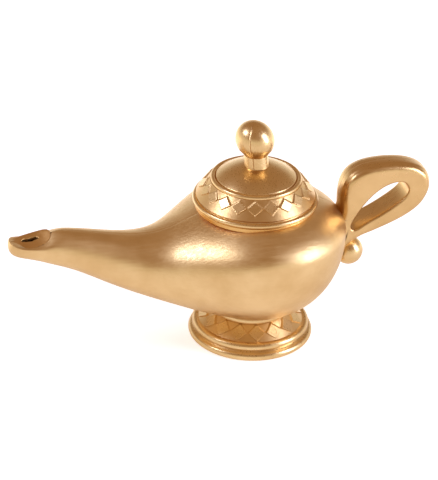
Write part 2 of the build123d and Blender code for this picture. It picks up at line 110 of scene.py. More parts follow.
def gold_paint(name, bright, deep, stroke=(1.0, 1.0, 1.0), roughness=0.30, recessed=False,
               stroke_height=0.6, stroke_width=0.909):
    """Metallic gold paint on moulded plastic, sprayed and wiped: a satin metal whose
    gloss and tone drift a little, with fine strokes and orange peel in its surface.

    The strokes are a stroke's width across, in millimetres, and as long along x, y and
    z as that width over the stroke's three numbers: (0.1, 1, 1) draws them ten times
    as long along x. Their height is set against that of the orange peel.
    """
    material = bpy.data.materials.new(name)
    material.use_nodes = True
    tree = material.node_tree
    shader = tree.nodes["Principled BSDF"]
    shader.inputs["Metallic"].default_value = 1.0
    place = add_node(tree, "ShaderNodeTexCoord").outputs["Object"]
    # Cloudy tone, about 18 mm across, as the spray coat lies thicker and thinner
    cloud = add_node(tree, "ShaderNodeTexNoise",
                     {"Vector": place, "Scale": 1 / (cloud_width * mm), "Detail": 3.0,
                      "Roughness": 0.55})
    # Dabs and wiping strokes, drawn coarser than the real ones so that they show
    along = add_node(tree, "ShaderNodeMapping", {"Vector": place, "Scale": stroke})
    strokes = add_node(tree, "ShaderNodeTexNoise",
                       {"Vector": along.outputs["Vector"], "Scale": 1 / (stroke_width * mm),
                        "Detail": 4.0, "Roughness": 0.6})
    # Orange peel of the dried paint, about 0.7 mm across
    peel = add_node(tree, "ShaderNodeTexNoise",
                    {"Vector": place, "Scale": 1 / (peel_grain * mm), "Detail": 2.0,
                     "Roughness": 0.5})
    tone = add_node(tree, "ShaderNodeMapRange",
                    {"Value": cloud.outputs["Fac"], "From Min": 0.35, "From Max": 0.65})
    colour = add_node(tree, "ShaderNodeMix",
                      {0: tone.outputs["Result"], 6: linear(bright), 7: linear(deep)},
                      data_type="RGBA").outputs[2]
    gloss = add_node(tree, "ShaderNodeMapRange",
                     {"Value": strokes.outputs["Fac"], "From Min": 0.3, "From Max": 0.7,
                      "To Min": roughness - 0.05, "To Max": roughness + 0.07})
    sheen = gloss.outputs["Result"]
    height = add_node(tree, "ShaderNodeMath", {0: strokes.outputs["Fac"], 1: stroke_height},
                      operation="MULTIPLY")
    height = add_node(tree, "ShaderNodeMath",
                      {0: peel.outputs["Fac"], 1: height.outputs["Value"]},
                      operation="ADD").outputs["Value"]
    if recessed:
        # Sandy and duller in the recesses, with grains of about 0.4 mm
        recess = add_node(tree, "ShaderNodeAttribute", attribute_name="recess").outputs["Fac"]
        sand = add_node(tree, "ShaderNodeTexNoise",
                        {"Vector": place, "Scale": 1 / (sand_grain * mm), "Detail": 2.0,
                         "Roughness": 0.7}).outputs["Fac"]
        sand = add_node(tree, "ShaderNodeMath", {0: sand, 1: recess}, operation="MULTIPLY")
        height = add_node(tree, "ShaderNodeMath",
                          {0: sand.outputs["Value"], 1: sand_height, 2: height},
                          operation="MULTIPLY_ADD").outputs["Value"]
        colour = add_node(tree, "ShaderNodeMix",
                          {0: recess, 6: colour, 7: linear(recess_gold)},
                          data_type="RGBA").outputs[2]
        sheen = add_node(tree, "ShaderNodeMath", {0: recess, 1: recess_dullness, 2: sheen},
                         operation="MULTIPLY_ADD").outputs["Value"]
    bump = add_node(tree, "ShaderNodeBump",
                    {"Height": height, "Strength": 0.3, "Distance": paint_relief * mm})
    tree.links.new(colour, shader.inputs["Base Color"])
    tree.links.new(sheen, shader.inputs["Roughness"])
    tree.links.new(bump.outputs["Normal"], shader.inputs["Normal"])
    return material


def arc(middle, radius, start_degrees, end_degrees, count):
    """Points round a middle: its place plus the radius times cosine and sine."""
    turn = np.radians(np.linspace(start_degrees, end_degrees, count))
    return np.stack([middle[0] + radius * np.cos(turn),
                     middle[1] + radius * np.sin(turn)], axis=1)


def profile_of(*parts):
    """A closed profile from corners (across, up, cut) and runs of exact points.

    A corner is cut back by its third number along both of its sides, by no more than
    0.45 of the shorter one, and bridged by a parabola, (1-u)(1-u) A + 2u(1-u) C + uu B.
    Each long straight run from one part to the next gets a row close to both of its
    ends, so that it shades flat up to its rounded edge. A run of exact points gets none.
    """
    corners = np.concatenate([[part] if np.ndim(part) == 1 else
                              np.column_stack([part, np.zeros(len(part))])
                              for part in parts])
    owner = np.concatenate([np.full(1 if np.ndim(part) == 1 else len(part), number)
                            for number, part in enumerate(parts)])
    cut = corners[:, 2]
    corners = corners[:, :2]
    back = np.roll(corners, 1, axis=0) - corners
    ahead = np.roll(corners, -1, axis=0) - corners
    back_length = np.linalg.norm(back, axis=1)
    ahead_length = np.linalg.norm(ahead, axis=1)
    cut = np.minimum(cut, 0.45 * np.minimum(back_length, ahead_length))
    start = corners + back * (cut / back_length)[:, None]
    end = corners + ahead * (cut / ahead_length)[:, None]
    u = np.linspace(0, 1, bend_points)[None, :, None]
    bends = ((1 - u) ** 2 * start[:, None] + 2 * u * (1 - u) * corners[:, None]
             + u ** 2 * end[:, None])
    keep = (cut > 0)[:, None] | (np.arange(bend_points) == 0)[None, :]
    points = bends[keep]
    owner = owner[np.nonzero(keep)[0]]
    ahead = np.roll(points, -1, axis=0) - points
    length = np.linalg.norm(ahead, axis=1)
    near = (run_end / length)[:, None]
    trio = np.stack([points, points + ahead * near, points + ahead * (1 - near)], axis=1)
    long = (length > 4 * run_end) & (owner != np.roll(owner, -1))
    return trio[np.stack([np.full(len(points), True), long, long], axis=1)]


def grid_piece(name, points, marks=None, diagonal=None, closed=(True, True)):
    """A mesh over a grid of places in millimetres, rows by columns.

    Each cell is one four-sided face or, where a diagonal is given for it, two
    three-sided ones split from its first corner (1) or its second (-1). Places
    that fall together, as at a pole, are merged, and the faces point outwards.
    """
    rows, columns = points.shape[:2]
    places = np.arange(rows * columns).reshape(rows, columns)
    if closed[0]:
        places = np.vstack([places, places[:1]])
    if closed[1]:
        places = np.hstack([places, places[:, :1]])
    a, b = places[:-1, :-1], places[:-1, 1:]
    c, d = places[1:, 1:], places[1:, :-1]
    if diagonal is None:
        faces = np.stack([a, b, c, d], axis=-1).reshape(-1, 4)
    else:
        first = diagonal > 0
        third, fourth = np.where(first, c, d), np.where(first, a, b)
        faces = np.concatenate([np.stack([a, b, third], axis=-1).reshape(-1, 3),
                                np.stack([c, d, fourth], axis=-1).reshape(-1, 3)])
    mesh = bpy.data.meshes.new(name)
    mesh.vertices.add(rows * columns)
    mesh.vertices.foreach_set("co", (points.reshape(-1) * mm).astype(np.float32))
    corner_count = faces.shape[1]
    mesh.loops.add(faces.size)
    mesh.loops.foreach_set("vertex_index", faces.reshape(-1))
    mesh.polygons.add(len(faces))
    mesh.polygons.foreach_set("loop_start", np.arange(len(faces)) * corner_count)
    if marks is not None:
        mark = mesh.attributes.new("recess", "FLOAT", "POINT")
        mark.data.foreach_set("value", marks.reshape(-1).astype(np.float32))
    mesh.update(calc_edges=True)
    work = bmesh.new()
    work.from_mesh(mesh)
    bmesh.ops.remove_doubles(work, verts=work.verts, dist=merge_distance * mm)
    if work.calc_volume(signed=True) < 0:
        bmesh.ops.reverse_faces(work, faces=work.faces)
    work.to_mesh(mesh)
    work.free()
    mesh.polygons.foreach_set("use_smooth", np.full(len(mesh.polygons), True))
    mesh.set_sharp_from_angle(angle=math.radians(sharp_degrees))
    piece = bpy.data.objects.new(name, mesh)
    bpy.context.scene.collection.objects.link(piece)
    return piece


def turned_places(profile, turn, reach=0.0):
    """A profile of radius and height turned about the upright axis: x is the radius
    times the cosine of the turn, y times its sine, with a reach added to the radius."""
    radius = profile[:, :1] + reach
    height = np.broadcast_to(profile[:, 1:], (len(profile), len(turn)))
    return np.stack([radius * np.cos(turn), radius * np.sin(turn), height], axis=-1)


def band_line(low, top, span_shares):
    """Points up a band's slope, evenly spaced below, along and above its diamonds:
    the low end times (1 - share) plus the top end times the share."""
    start, end = span_shares
    share = np.concatenate([np.linspace(0, start, 6)[:-1],
                            np.linspace(start, end, diamond_rows + 1),
                            np.linspace(end, 1, 3)[1:]])[:, None]
    return np.array(low) * (1 - share) + np.array(top) * share


def diamond_relief(profile, low, top, count, columns, turn_degrees, span_shares):
    """Raised flat diamonds round a cone, with bevelled sides.

    Only rows on the cone's line, to within a hair, are raised. In each diamond's cell
    u and s run from -1 to 1 across and up. The height grows from the diamond's edge,
    where |u| + |s| is the edge's share, and is full a bevel's share further in. A flat
    top stands out from the cone by its radius times (1 / cosine of the turn from the
    diamond's middle - 1). Also gives each cell's diagonal and where the recesses lie.
    """
    low, top = np.array(low), np.array(top)
    slope = top - low
    along = (profile - low) @ slope / (slope @ slope)
    off = np.abs(np.cross(profile - low, slope)) / np.linalg.norm(slope)
    on_band = (off < 1e-4) & (along > -1e-6) & (along < 1 + 1e-6)
    per_cell = columns // count
    start, end = span_shares
    s = (2 * along - start - end) / (end - start)
    u = 2 * (np.arange(columns) % per_cell) / per_cell - 1
    pitch = 2 * math.pi / count
    turn = (np.arange(columns) / per_cell - 0.5) * pitch + math.radians(turn_degrees - 90)
    span = np.abs(u)[None, :] + np.abs(s)[:, None]
    fullness = np.clip((diamond_edge_share - span) / diamond_bevel_share, 0, 1)
    fullness *= on_band[:, None]
    flat = profile[:, :1] * (1 / np.cos(u * pitch / 2) - 1)
    reach = fullness * (diamond_rise + flat)
    u_side = np.sign(2 * ((np.arange(columns) % per_cell) + 0.5) / per_cell - 1)
    s_side = np.sign((s + np.roll(s, -1)) / 2)
    diagonal = np.where(u_side[None, :] * s_side[:, None] < 0, 1, -1)
    recess = on_band[:, None] * (1 - fullness)
    return turn, reach, diagonal, recess


foot_profile = profile_of(
    (cover_seat[0], 0, 0),
    arc(ring_middle, ring_round, -62, 81, 16),
    arc(foot_bead, foot_bead_round, -50, 80, 18),
    band_line(foot_band_low, foot_band_top, foot_span_shares),
    arc(foot_roll, foot_roll_round, -25, 90, 16),
    (foot_spigot[0], foot_roll[1] + foot_roll_round, 0),
    (foot_spigot[0], foot_spigot[1], 0),
    (0, foot_spigot[1], 0),
    (0, foot_spigot[1] - foot_wall, 0),
    (foot_spigot[0] - foot_wall, foot_spigot[1] - foot_wall, 0),
    (foot_spigot[0] - foot_wall, foot_band_top[1] - foot_wall, 0),
    (foot_band_top[0] - foot_wall / 2, foot_band_top[1] - foot_wall, 0),
    (cover_ledge, cover_ledge_top, 0),
    (cover_ledge, cover_seat[1], 0),
    (cover_seat[0], cover_seat[1], 0),
)
turn, reach, diagonal, recess = diamond_relief(
    foot_profile, foot_band_low, foot_band_top, foot_diamonds, foot_columns, foot_turn_degrees,
    foot_span_shares)
from_seam = (turn - math.radians(foot_seam_degrees)) * foot_radius
on_ring = (foot_profile[:, 1] < foot_bead[1]) & (foot_profile[:, 0] > foot_bead[0])
seam = foot_seam_depth * np.exp(-(from_seam / foot_seam_width) ** 2)
reach = reach - on_ring[:, None] * seam[None, :]
foot = grid_piece("foot", turned_places(foot_profile, turn, reach), recess, diagonal)
foot.data.materials.append(gold_paint("satin_gold_paint_foot", bright_gold, deep_gold,
                                      recessed=True))
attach(foot, "lamp_body")
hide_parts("foot")

# Base cover
# A flat disc of plastic glued into the foot from below, flush with its sole. Gold
# paint reaches it thinly, so it is duller than what shows from above.
dull_gold = gold_paint("thin_gold_paint_base", "#C9A163", "#B48B50", roughness=0.45)
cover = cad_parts["base_cover"]
cover.data.materials.clear()
cover.data.materials.append(dull_gold)

# Bowl and spout
# Two hollow shells of moulded plastic, mirror images glued together on the upright
# plane along the spout, so a fine parting line runs along the top and the keel.
# The paint is wiped along the body, and the spout's end is cut to a dished face.
bowl_radius = 47.6
equator = 61.9
crown_rise = 19.9
belly_drop = 47.4
belly_power = 2.15
spout_height = 65.3
shell_wall = 2.0
spout_reach = 112.0
nose_length = 17.0
nose_rise = 1.3
nose_power = 2.5
mouth_radius = 28.58
foot_hole = 14.08
belly_fade = 40.0
step = 16.0
# The spout's sections, one at every step: half width as a share of the bowl's radius,
# and widest height, top and bottom as shares of the spout's height
section_shares = [
    (0.942, 0.685, 0.985, 0.042),
    (0.754, 0.603, 0.890, 0.103),
    (0.515, 0.528, 0.787, 0.183),
    (0.364, 0.531, 0.772, 0.281),
    (0.281, 0.606, 0.812, 0.400),
    (0.230, 0.693, 0.858, 0.528),
    (0.185, 0.753, 0.885, 0.621),
]
# How these four change along the lamp where the nose starts
nose_slopes = (-0.134, 0.2438, 0.1128, 0.3813)
# The dished face: from the tip on, its heights evenly spaced along its run, twisted by
# 1.95 mm in 6 mm across, and a little steeper where it leads on past its upper end
face_start = -128.6
face_run = 22.0
face_heights = [67.9, 66.65, 66.95, 68.1, 70.7]
face_twist = 1.95 / 6
face_lead = 1.6
face_lead_steeper = 1.1
face_cut_start = -97.0
# The face's edge is crisp at the tip and grows softer from a share of its run on
cut_crisp, cut_soft = 0.35, 2.5
soft_from, soft_run = 0.35, 0.4
plate_zone_end = -spout_reach + 2 * nose_length / 3
plate_middle = -117.3
plate_half = (10.2, 6.1)
plate_power = 2.4
parting_depth = 0.1
parting_width = 0.2
# Rows at these distances from the parting plane draw the parting line
parting_rows = (0.12, 0.3)
edge_row_share = 0.02
least_width = 1e-4
# Beyond these two places the inside is drawn in, for a wall at both ends of the lamp
inner_back, inner_front = 36.0, -100.0
nose_fill = 12.0
inner_face_drop = 1.7
least_column = 0.03


def curve_through(points, places, closed=False, slopes=None):
    """Places on the smooth cubic curve through evenly numbered points.

    The slopes m solve m[i-1] + 4 m[i] + m[i+1] = 3 (p[i+1] - p[i-1]), with open
    ends free or at given slopes, and each stretch is the cubic that has its two
    points and slopes.
    """
    points = np.asarray(points, float).reshape(len(points), -1)
    count = len(points)
    system = 4 * np.eye(count) + np.eye(count, k=1) + np.eye(count, k=-1)
    right = 3 * (np.roll(points, -1, axis=0) - np.roll(points, 1, axis=0))
    if closed:
        system[0, -1] = system[-1, 0] = 1
    elif slopes is None:
        system[0, 0] = system[-1, -1] = 2
        right[0] = 3 * (points[1] - points[0])
        right[-1] = 3 * (points[-1] - points[-2])
    else:
        system[0] = np.eye(count)[0]
        system[-1] = np.eye(count)[-1]
        right[0], right[-1] = slopes
    slope = np.linalg.solve(system, right)
    places = np.asarray(places, float)
    last = count if closed else count - 1
    index = np.clip(np.floor(places).astype(int), 0, last - 1)
    t = (places - index)[:, None]
    p, m = points[index % count], slope[index % count]
    q, n = points[(index + 1) % count], slope[(index + 1) % count]
    return ((2 * t ** 3 - 3 * t ** 2 + 1) * p + (t ** 3 - 2 * t ** 2 + t) * m
            + (3 * t ** 2 - 2 * t ** 3) * q + (t ** 3 - t ** 2) * n)


def egg_row(x):
    """Half width, widest height, top and bottom of the round bowl at x: an ellipse
    above and a slightly fuller one below, whose power is above 2."""
    share = np.clip(np.abs(x) / bowl_radius, 0, 1)
    fullness = np.sqrt(1 - share ** 2)
    belly = (1 - share ** belly_power) ** (1 / belly_power)
    return np.stack([bowl_radius * fullness, equator + 0 * x,
                     equator + crown_rise * fullness, equator - belly_drop * belly], axis=-1)


def body_rows(x):
    """Half width, widest height, top and bottom of the body's section at each x.

    The bowl is half an egg. The spout is the smooth curve through its sections, which
    leaves the bowl along its slope. The nose shrinks as a full quarter oval does, to
    the power 1 / nose power of 1 less the share to that power, while its middle rises.
    """
    shares = np.array(section_shares)
    bowl_bottom = equator - belly_drop
    spout = np.column_stack([shares[:, 0] * bowl_radius,
                             bowl_bottom + shares[:, 1:] * spout_height])
    knots = np.vstack([egg_row(np.array([step, 0.0])), spout])
    hair = 0.01
    lead = egg_row(np.array([step + hair, step - hair]))
    slopes = ((lead[1] - lead[0]) / (2 * hair) * step, np.array(nose_slopes) * step)
    body = curve_through(knots, 1 - np.clip(x, -spout_reach, 0) / step, slopes=slopes)
    out = np.clip(-spout_reach - x, 0, nose_length)
    q = out / nose_length
    fullness = (1 - q ** nose_power) ** (1 / nose_power)
    last = knots[-1]
    side = (last[0] + nose_slopes[0] * out * (1 - q)) * fullness
    middle = last[1] + nose_slopes[1] * out + (nose_rise - nose_slopes[1] * nose_length) * q ** 2
    upper_slope = nose_slopes[2] - nose_slopes[1]
    lower_slope = nose_slopes[1] - nose_slopes[3]
    upper = (last[2] - last[1] + upper_slope * out * (1 - q)) * fullness
    lower = (last[1] - last[3] + lower_slope * out * (1 - q)) * fullness
    nose = np.stack([side, middle, middle + upper, middle - lower], axis=-1)
    rows = np.where((x >= 0)[:, None], egg_row(np.maximum(x, 0)), body)
    return np.where((x < -spout_reach)[:, None], nose, rows)


def face_height(x, y):
    """Height of the spout's dished face: a smooth curve along it, twisted across, and
    beyond its upper end a straight line that is a little steeper than its end."""
    t = np.clip((x - face_start) / face_run, 0, face_lead)
    spans = len(face_heights) - 1
    along = curve_through(face_heights, np.clip(t.reshape(-1), 0, 1) * spans).reshape(t.shape)
    end_slope = spans * (face_heights[-1] - face_heights[-2]) * face_lead_steeper
    return along + np.maximum(t - 1, 0) * end_slope + face_twist * t * y


def smooth_min(a, b, blend):
    """The lower of two heights, rounded over where they are within a blend: less the
    square of (blend - difference) over four times the blend."""
    near = np.maximum(blend - np.abs(a - b), 0) / blend
    return np.minimum(a, b) - near ** 2 * blend / 4


def plate_side(x):
    """Half width of the tip plate's rounded oval at x: (1 - share along it to a power)
    to 1 / that power."""
    share = np.clip(np.abs((x - plate_middle) / plate_half[0]), 0, 1)
    return plate_half[1] * (1 - share ** plate_power) ** (1 / plate_power)


def wall_places(x, row_share, grow, drop):
    """Places over the front shell: from its upper to its lower edge, rows by x.

    A section is two half ellipses that share a widest line: half width times sine and
    height times cosine, to a power that makes the belly fuller. Its upper edge is the
    mouth's circle, the tip plate's outline or the parting plane, and its lower edge
    the foot's circle or the parting plane. The face cuts the top off the nose. A wall
    grows outwards by its grow, and its face lies lower by its drop.
    """
    side, middle, top, bottom = body_rows(x).T
    side = np.maximum(side + grow, least_width)
    upper = np.maximum(top - middle + grow, least_width)
    lower = np.maximum(middle - bottom + grow, least_width)
    mouth = np.sqrt(np.maximum(mouth_radius ** 2 - x ** 2, 0))
    hole = np.sqrt(np.maximum(foot_hole ** 2 - x ** 2, 0))
    upper_edge = np.where(x < plate_zone_end, plate_side(x), mouth)
    squareness = 2 / (2 + (belly_power - 2) * np.clip(1 + x / belly_fade, 0, 1))
    start = np.arcsin(np.clip(upper_edge / side, 0, 1))
    end = math.pi - np.arcsin(np.clip(hole / side, 0, 1) ** (1 / squareness))
    turn = start + (end - start) * row_share[:, None]
    edge = np.array([0, *parting_rows])[:, None] / side
    edge = np.minimum(edge, edge_row_share * (end - start))
    turn = np.concatenate([start + edge, turn[1:-1], end - edge[::-1]])
    below = np.abs(np.cos(turn)) ** squareness
    y = -side * np.where(turn < math.pi / 2, np.sin(turn), np.sin(turn) ** squareness)
    z = middle + np.where(turn < math.pi / 2, upper * np.cos(turn), -lower * below)
    groove = parting_depth * np.exp(-(y / parting_width) ** 2) * (grow == 0)
    z = z - np.sign(np.cos(turn)) * groove
    across = np.broadcast_to(x, y.shape)
    t = np.clip((across - face_start) / face_run, 0, 1)
    blend = cut_crisp + (cut_soft - cut_crisp) * np.clip((t - soft_from) / soft_run, 0, 1)
    cut = smooth_min(z, face_height(across, y) - drop, blend)
    z = np.where(across < face_cut_start, cut, z)
    return np.stack([across, y, z], axis=-1)


def half_circle(middle, radius, count):
    """Places along x that are evenly spaced round a circle seen from above: its middle
    plus its radius times the sine."""
    return middle + radius * np.sin(np.linspace(-math.pi / 2, math.pi / 2, count))


body_x = np.concatenate([
    -spout_reach - nose_length * np.sin(np.linspace(math.pi / 2, 0, 30)),
    half_circle(plate_middle, plate_half[0], 48),
    np.linspace(-spout_reach, -mouth_radius, 90),
    half_circle(0, mouth_radius, 90),
    half_circle(0, foot_hole, 30),
    bowl_radius * np.sin(np.linspace(math.asin(mouth_radius / bowl_radius), math.pi / 2, 26)),
])
body_x = np.unique(np.round(body_x, 4))
body_x = body_x[np.concatenate([[True], np.diff(body_x) > least_column])]
body_x[-1] = bowl_radius
tip_end = -spout_reach - nose_length
back_squeeze = (bowl_radius - shell_wall - inner_back) / (bowl_radius - inner_back)
nose_squeeze = (tip_end + nose_fill - inner_front) / (tip_end - inner_front)
inner_x = np.where(body_x > inner_back, inner_back + (body_x - inner_back) * back_squeeze, body_x)
inner_x = np.where(body_x < inner_front, inner_front + (body_x - inner_front) * nose_squeeze,
                   inner_x)
row_share = np.linspace(0, 1, 84)
outside = wall_places(body_x, row_share, 0.0, 0.0)
inside = wall_places(inner_x, row_share, -shell_wall, inner_face_drop)
shell = np.concatenate([outside, inside[::-1]])
# Wiped along the body: strokes about 1.3 mm wide and 13 mm long
body_gold = gold_paint("satin_gold_paint_body", bright_gold, deep_gold, stroke=(0.1, 1, 1),
                       roughness=0.39, stroke_height=6.0, stroke_width=1.316)
for name, mirror in (("body_front_half", 1), ("body_rear_half", -1)):
    half = grid_piece(name, shell * np.array([1, mirror, 1]), closed=(True, False))
    half.data.materials.append(body_gold)
    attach(half, "lamp_body")
    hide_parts(name)

# Spout tip plate
# An oval plastic plate glued into the spout's face, with a ragged slot where a flame
# would come out. Glue and paint leave a dark uneven seam along its near edge.
plate_columns = 240
slot_middle = (-117.7, 0.9)
slot_half = (4.3, 1.35)
slot_power = 2.6
plate_thickness = 1.5
plate_drop = 0.12
rim_gap = 0.06
seam_gap = 0.42
around = np.linspace(0, 2 * math.pi, plate_columns, endpoint=False)


def rounded_oval(middle, half, power, shrink=0.0):
    """A closed oval: half sizes times the signed power of cosine and sine."""
    c, s = np.cos(around), np.sin(around)
    x = middle[0] + (half[0] - shrink) * np.sign(c) * np.abs(c) ** (2 / power)
    y = middle[1] + (half[1] - shrink) * np.sign(s) * np.abs(s) ** (2 / power)
    return np.stack([x, y], axis=-1)


# Two waves of unequal length make an edge ragged: 0 to 1 of the seam's gap at the rim,
# and up to a third of a millimetre at the slot
ragged = 0.5 + 0.3 * np.sin(9 * around + 1) + 0.2 * np.sin(23 * around)
near_side = np.clip(-np.sin(around), 0, 1)
plate_rim = rounded_oval((plate_middle, 0), plate_half, plate_power,
                         rim_gap + seam_gap * near_side * ragged)
slot_rim = rounded_oval(slot_middle, slot_half, slot_power,
                        0.22 * np.sin(5 * around) + 0.12 * np.sin(11 * around + 2))
# From the rim's underside over its rounded edge to the slot's lip and down its wall:
# the share of the way from rim to slot, and the depth under the face
path = np.array([(0, plate_thickness), (0, 0.25), (0.02, 0.08), (0.06, 0), (0.3, 0), (0.6, 0),
                 (0.9, 0), (0.96, -0.05), (1, 0.12), (1, 0.5), (1, plate_thickness)])
share, depth = path[:, 0, None, None], path[:, 1, None]
flat = plate_rim[None] * (1 - share) + slot_rim[None] * share
height = face_height(flat[..., 0], flat[..., 1]) - plate_drop - depth
tip_plate = grid_piece("spout_tip_plate", np.concatenate([flat, height[..., None]], axis=-1))
tip_plate.data.materials.append(gold_paint("satin_gold_paint_tip_plate", "#E3B97A",
                                           "#CF9F5B", roughness=0.38))
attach(tip_plate, "lamp_body")
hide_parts("spout_tip_plate")

# Mouth collar
# The plastic ring glued into the bowl's mouth that carries the lid. Its flange lies
# on the shoulder, and its rounded edge shows as an amber line under the lid's rim.
# Its paint is a deeper amber than the body's: a painted reflection of the lid's gold underside.
collar_outer, collar_bore = 28.5, 25.5
collar_low, collar_top = 72.6, 76.6
flange_radius, flange_low, flange_top = 31.2, 75.6, 77.75
flange_rise = 0.2
flange_step = 0.7
fine_round, flange_foot_round, flange_round, bore_round = 0.2, 0.1, 0.5, 0.9
collar_profile = profile_of(
    (collar_outer, collar_low, fine_round),
    (collar_outer, flange_low, 0),
    (flange_radius, flange_low, flange_foot_round),
    (flange_radius, flange_top, flange_round),
    (collar_outer, flange_top + flange_rise, fine_round),
    (collar_outer - flange_step, collar_top, fine_round),
    (collar_bore, collar_top, bore_round),
    (collar_bore, collar_low, fine_round),
)
full_turn = np.linspace(0, 2 * math.pi, 360, endpoint=False)
collar = grid_piece("mouth_collar", turned_places(collar_profile, full_turn))
# Deeper amber than the body's paint: a painted reflection of the lid's gold underside
collar.data.materials.append(gold_paint("painted_reflection_gold_paint_collar", "#E6B871", "#D9A55C"))
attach(collar, "lamp_body")
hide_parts("mouth_collar")

# Handle
# A looped strap moulded in two plastic halves, glued on the lamp's middle plane and
# rooted in the bowl's side. Its edges are softly rounded and a faint parting line
# runs along the middle of its rim.
handle_foot = (47.6, 40.0)
handle_size = (44.3, 53.9)
# Places across and up on the two lines, as shares of the handle's size
strap_shares = [
    (-0.082, 0.452), (-0.046, 0.546), (-0.048, 0.659), (-0.032, 0.772),
    (0.005, 0.855), (0.073, 0.921), (0.168, 0.964), (0.281, 0.989),
    (0.440, 1.000), (0.610, 0.994), (0.757, 0.972), (0.871, 0.934),
    (0.952, 0.878), (0.993, 0.802), (0.998, 0.719), (0.966, 0.637),
    (0.898, 0.548), (0.784, 0.470), (0.646, 0.405), (0.486, 0.348),
    (0.328, 0.298), (0.213, 0.265), (0.134, 0.232), (0.073, 0.198),
    (0.032, 0.166), (0.000, 0.117), (-0.025, 0.066), (-0.054, 0.009),
]
finger_hole_shares = [
    (0.061, 0.385), (0.108, 0.483), (0.194, 0.592), (0.318, 0.706),
    (0.452, 0.784), (0.582, 0.818), (0.689, 0.803), (0.741, 0.730),
    (0.694, 0.644), (0.553, 0.554), (0.395, 0.475), (0.236, 0.403),
    (0.111, 0.347),
]
handle_half_width = 8.0
handle_round = 3.3
hole_round = 1.4
handle_crown = 0.8
handle_edge_crown = 0.15
handle_parting_depth = 0.06
root_sink = 2.6
# Where the strap's outer line and the hole's line face each other, as point numbers
strap_keys = [0, 3, 5, 8, 11, 14, 17, 19, 21, 24, 27, 28, 29]
hole_keys = [0, 2, 3, 4.5, 6, 7, 8.5, 10, 12, 12.6, 12.8, 12.9, 13]


def handle_line(shares, places, closed=False):
    """Places on a line of the handle, seen from the front, from its shares."""
    points = np.array(handle_foot) + np.array(shares) * np.array(handle_size)
    return curve_through(points, places, closed)


def bowl_reach(height):
    """How far the bowl's wall reaches from the axis at a height: its radius times
    (1 - the height's share to a power) to 1 / that power."""
    rise = np.where(height > equator, crown_rise, belly_drop)
    power = np.where(height > equator, 2, belly_power)
    share = np.clip(np.abs(height - equator) / rise, 0, 1)
    return bowl_radius * (1 - share ** power) ** (1 / power)


def side_way(loop, turn):
    """Unit vectors square to a closed line: from the point before to the point after,
    turned by a right angle to one side."""
    way = np.roll(loop, -1, axis=0) - np.roll(loop, 1, axis=0)
    way = way / np.linalg.norm(way, axis=1)[:, None]
    return turn * np.stack([way[:, 1], -way[:, 0]], axis=-1)


# The strap's line down to the bowl, closed by a root that lies sunk in the bowl's wall
last = len(strap_shares) - 1
number = np.linspace(0, last, 12 * last + 1)
strap = handle_line(strap_shares, number)
clear = strap[:, 0] > bowl_reach(strap[:, 1]) - root_sink
number, strap = number[clear], strap[clear]
root_height = np.linspace(strap[-1, 1], strap[0, 1], 42)[1:-1]
root = np.stack([bowl_reach(root_height) - root_sink, root_height], axis=-1)
outer_loop = np.concatenate([strap, root])
outer_number = np.concatenate([number, np.linspace(last + 1, last + 2, len(root) + 1)[:-1]])
hole_number = np.interp(outer_number, strap_keys, hole_keys)
hole_loop = handle_line(finger_hole_shares, hole_number % len(finger_hole_shares), True)
outer_way = side_way(outer_loop, 1)
hole_way = side_way(hole_loop, -1)
# One half's surface runs from the parting plane out over the strap's crowned rim, round
# its edge, across the cheek, round the hole's edge and back along the hole's wall
bend = np.radians(np.linspace(0, 90, 8))[:, None, None]
wall = np.linspace(0, handle_half_width - handle_round, 7)[:-1]
wall = np.sort(np.concatenate([wall, parting_rows]))
crown = (handle_crown * (1 - (wall / handle_half_width) ** 2)
         - handle_parting_depth * np.exp(-(wall / parting_width) ** 2))
outer_wall = outer_loop[None] - outer_way[None] * crown[:, None, None]
rounding = np.concatenate([np.ones(len(strap)), np.zeros(len(root))])[None, :, None]
inset = handle_round * (1 - np.cos(bend)) * rounding
outer_bend = outer_loop[None] + outer_way[None] * (inset - handle_edge_crown * np.cos(bend))
hole_bend = hole_loop[None] + hole_way[None] * hole_round * (1 - np.cos(bend[::-1]))
between = np.linspace(0, 1, 14)[1:-1, None, None]
cheek = outer_bend[-1:] * (1 - between) + hole_bend[:1] * between
hole_wall = np.repeat(hole_loop[None], len(wall), axis=0)
flat = np.concatenate([outer_wall, outer_bend, cheek, hole_bend, hole_wall])
bend_depth = (handle_half_width - handle_round + handle_round * np.sin(bend))[:, 0, 0]
hole_depth = handle_half_width - hole_round * (1 - np.sin(bend[::-1, 0, 0]))
hole_stretch = (handle_half_width - hole_round) / (handle_half_width - handle_round)
depth = np.concatenate([wall, bend_depth, np.full(len(between), handle_half_width),
                        hole_depth, wall[::-1] * hole_stretch])
depth = np.broadcast_to(depth[:, None], flat.shape[:2])
# A little darker than the body's paint: painted shade for the darker room that the strap's flat
# cheeks mirror
handle_paint_painted_shade = gold_paint("painted_shade_gold_paint_handle", "#E2BC80", "#D6AF73", stroke=(0.2, 1, 0.2))
for name, side in (("handle_front_half", -1), ("handle_rear_half", 1)):
    places = np.stack([flat[..., 0], side * depth, flat[..., 1]], axis=-1)
    half = grid_piece(name, places)
    half.data.materials.append(handle_paint_painted_shade)
    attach(half, "lamp_body")
    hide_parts(name)

# Handle ball
# A plastic ball under the strap, pegged into its root, where a cast lamp has a drop of
# metal. It has the lamp's satin gold paint.
ball_middle = (51.8, 0.0, 42.8)
ball_radius = 7.6
upright = np.radians(np.linspace(-90, 90, 61))
round_turn = np.linspace(0, 2 * math.pi, 96, endpoint=False)
ball_profile = np.stack([ball_radius * np.cos(upright), ball_radius * np.sin(upright)], axis=-1)
ball_places = turned_places(ball_profile, round_turn) + np.array(ball_middle)
ball = grid_piece("handle_ball", ball_places, closed=(False, True))
ball.data.materials.append(gold_paint("satin_gold_paint_ball", bright_gold, deep_gold))
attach(ball, "lamp_body")
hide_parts("handle_ball")

